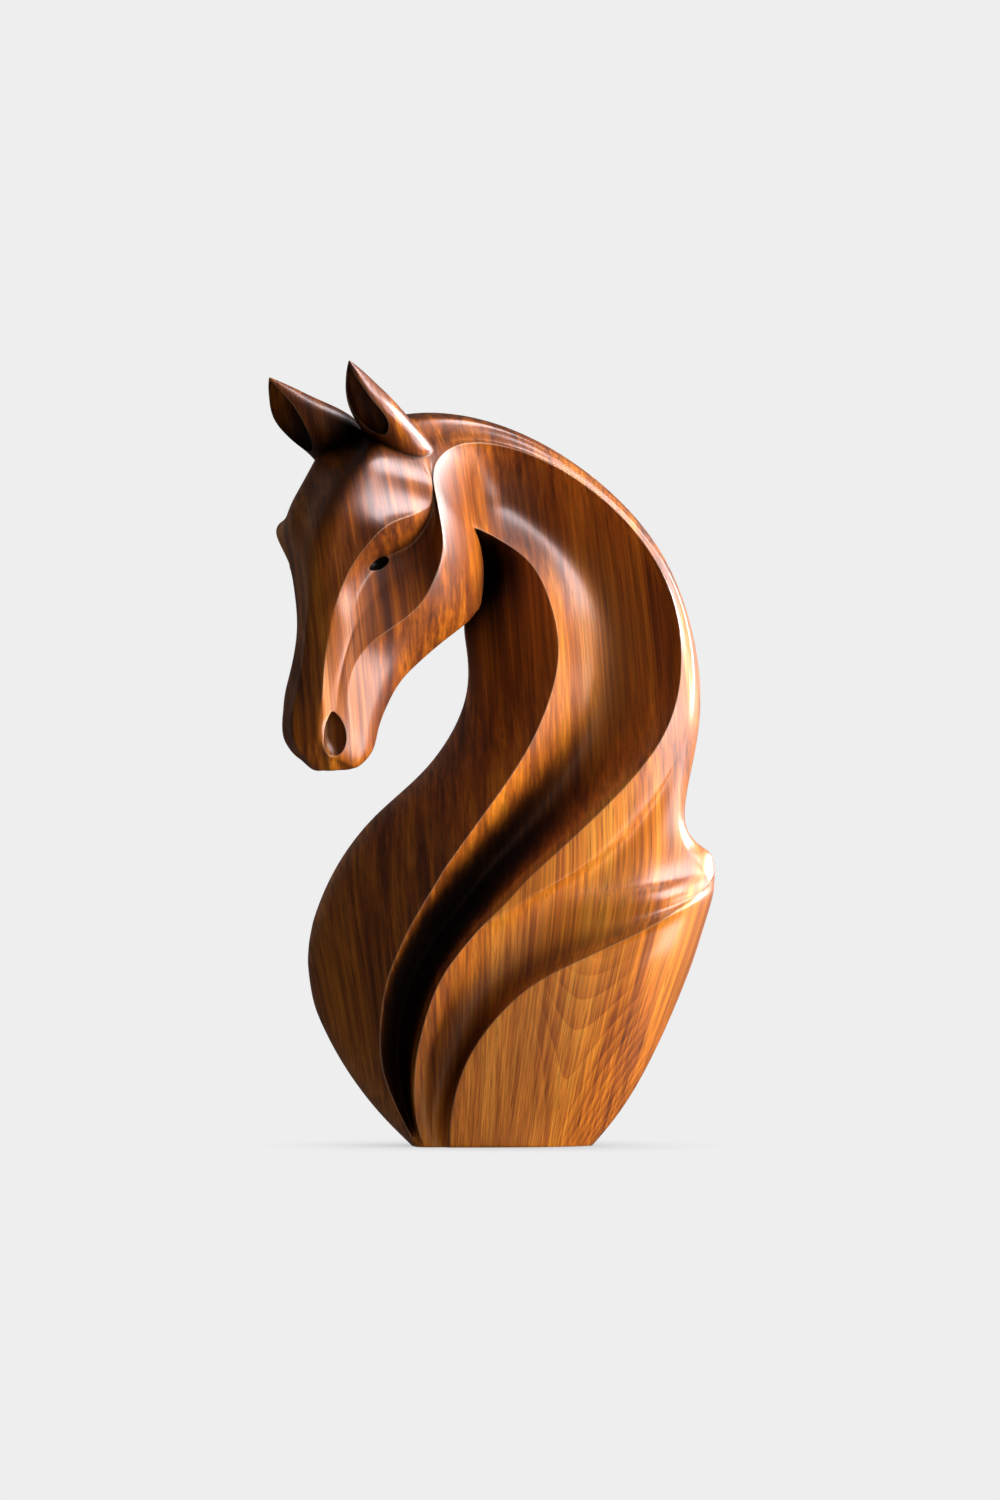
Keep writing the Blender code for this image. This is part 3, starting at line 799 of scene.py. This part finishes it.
def world():
    """The same pale grey for the camera, and a dim light for everything else."""
    surroundings = bpy.data.worlds.new("studio")
    bpy.context.scene.world = surroundings
    surroundings.use_nodes = True
    tree = surroundings.node_tree
    background = tree.nodes["Background"]
    seen = node(tree, "LightPath", output="Is Camera Ray")
    strength = between(tree, seen, (0.0, 1.0), (SURROUNDING_LIGHT, BACKDROP))
    background.inputs["Color"].default_value = WHITE
    tree.links.new(strength, background.inputs["Strength"])


def area_light(name, azimuth, elevation, size, power, colour):
    """A rectangle of light that faces the figure. Azimuth 0 is at its right, -90 in front of it."""
    data = bpy.data.lights.new(name, "AREA")
    data.shape = "RECTANGLE"
    data.size, data.size_y = size
    data.energy = power
    data.color = colour
    turn, rise = math.radians(azimuth), math.radians(elevation)
    level = LIGHT_DISTANCE * math.cos(rise)
    away = level * math.cos(turn), level * math.sin(turn), FIGURE_MIDDLE + LIGHT_DISTANCE * math.sin(rise)
    obj = bpy.data.objects.new(name, data)
    obj.location = away
    obj.rotation_euler = (Vector((0, 0, FIGURE_MIDDLE)) - Vector(away)).to_track_quat("-Z", "Y").to_euler()
    bpy.context.scene.collection.objects.link(obj)
    return obj


def lights():
    for light in SOFT_LIGHTS:
        area_light(*light).visible_glossy = False
    for light in SHEEN_LIGHTS:
        area_light(*light).visible_diffuse = False


def camera():
    scale = HEIGHT / DRAWN_HEIGHT * MM
    distance = VIEW_DISTANCE * scale
    data = bpy.data.cameras.new("camera")
    data.sensor_fit = "VERTICAL"
    data.sensor_height = SENSOR_HEIGHT
    data.lens = SENSOR_HEIGHT * distance / (IMAGE_HEIGHT * PIXEL)
    data.shift_x = (IMAGE_WIDTH / 2 - FIGURE_MIDDLE_PIXEL[0]) / IMAGE_HEIGHT
    data.shift_y = (FIGURE_MIDDLE_PIXEL[1] - IMAGE_HEIGHT / 2) / IMAGE_HEIGHT
    data.clip_end = FAR_CLIP
    obj = bpy.data.objects.new("camera", data)
    y = -DRAWN_MIDDLE_Y * scale - distance
    obj.location = (-DRAWN_MIDDLE_X * MM, y, (VIEW_HEIGHT - DRAWN_BASE) * scale)
    obj.rotation_euler = (math.pi / 2, 0, 0)
    bpy.context.scene.collection.objects.link(obj)
    bpy.context.scene.camera = obj


def carving():
    """The whole figure as one fine mesh, with the ears joined and the hollows cut."""
    collection = bpy.context.scene.collection
    horse = body(collection)
    tools = []
    for side in (1, -1):
        tools.append((ear(side, collection), "UNION"))
    for side in (1, -1):
        tools.append((ear_hollow(side, collection), "DIFFERENCE"))
        for size in (NOSTRIL_RIM, NOSTRIL, EYE):
            tools.append((bowl(size, side, collection), "DIFFERENCE"))
    for tool, operation in tools:
        combine(horse, tool, operation)
    bpy.context.view_layer.update()
    carved = bpy.data.meshes.new_from_object(horse.evaluated_get(bpy.context.evaluated_depsgraph_get()))
    horse.modifiers.clear()
    horse.data = carved
    for tool, _ in tools:
        bpy.data.objects.remove(tool)
    carved.materials.clear()
    carved.materials.append(walnut())
    carved.shade_smooth()
    carved.set_sharp_from_angle(angle=SHARP_ANGLE)
    return horse


def main():
    horse = carving()
    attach(horse, "root")
    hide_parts("horse_figurine")
    floor()
    world()
    lights()
    camera()
    bpy.context.scene.view_settings.view_transform = "Standard"


main()
